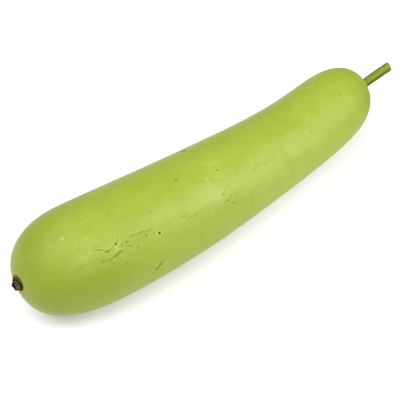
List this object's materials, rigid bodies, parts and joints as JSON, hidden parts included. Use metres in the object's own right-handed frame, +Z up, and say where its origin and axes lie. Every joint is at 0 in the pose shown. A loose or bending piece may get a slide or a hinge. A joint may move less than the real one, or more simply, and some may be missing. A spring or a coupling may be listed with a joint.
{
  "type": "bottle gourd",
  "caption": "Long pale green bottle gourd resting on its side, with a cut stalk at the neck end and the dried remnant of the flower at the other end.",
  "frame": {"origin": "on the resting surface, under the centre of the whole object's bounding box", "axes": "+Z up; +X along the gourd from the blossom end to the stem; the middle of the gourd bows towards -Y"},
  "size_m": [0.4106, 0.0912, 0.0866],
  "materials": {
    "skin": "smooth pale green vegetable skin, faintly waxy, with fine pores and healed scratches",
    "stalk": "fibrous green stalk, dull",
    "dried_flower": "dry brown cork, rough"
  },
  "bodies": {
    "root": {"fruit": "skin", "stem": "stalk", "blossom_remnant": "dried_flower"}
  },
  "joints": []
}
